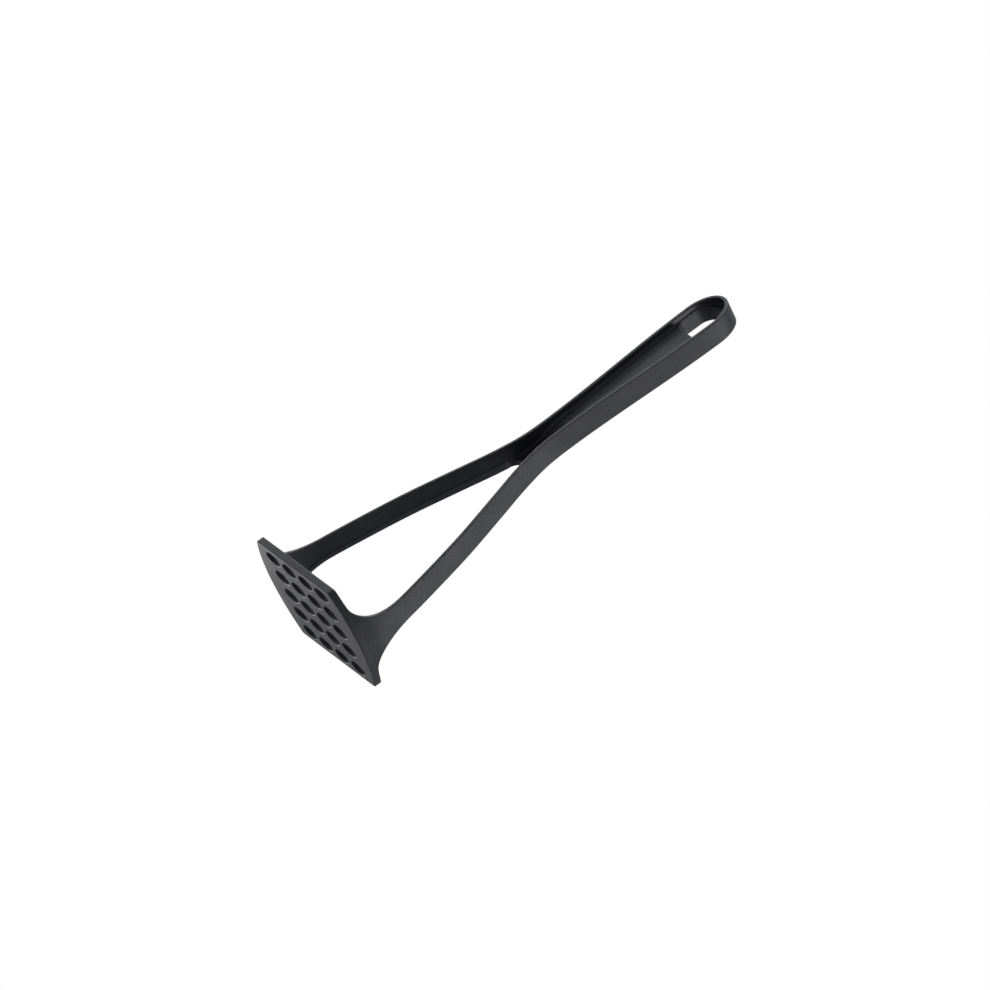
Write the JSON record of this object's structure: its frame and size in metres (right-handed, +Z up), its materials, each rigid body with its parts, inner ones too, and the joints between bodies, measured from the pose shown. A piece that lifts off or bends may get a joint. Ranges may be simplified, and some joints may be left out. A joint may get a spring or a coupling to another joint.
{
  "type": "potato masher",
  "caption": "One-piece moulded black nylon potato masher: perforated bowed plate on two flared legs that join into a tray-shaped handle with a hanging hole.",
  "frame": {"origin": "centre of the mashing face, at the bottom of the standing masher", "axes": "+Z up the handle from the mashing face, +X across the two legs, +Y out of the open side of the handle's tray"},
  "size_m": [0.0916, 0.0674, 0.28],
  "materials": {
    "black_nylon": "black glass-filled nylon, fine matt texture outside, semi-polished inside the tray"
  },
  "bodies": {
    "root": {"mashing_plate": "black_nylon", "left_foot": "black_nylon", "right_foot": "black_nylon", "left_leg": "black_nylon", "right_leg": "black_nylon", "yoke": "black_nylon", "grip": "black_nylon", "hanging_end": "black_nylon"}
  },
  "joints": []
}
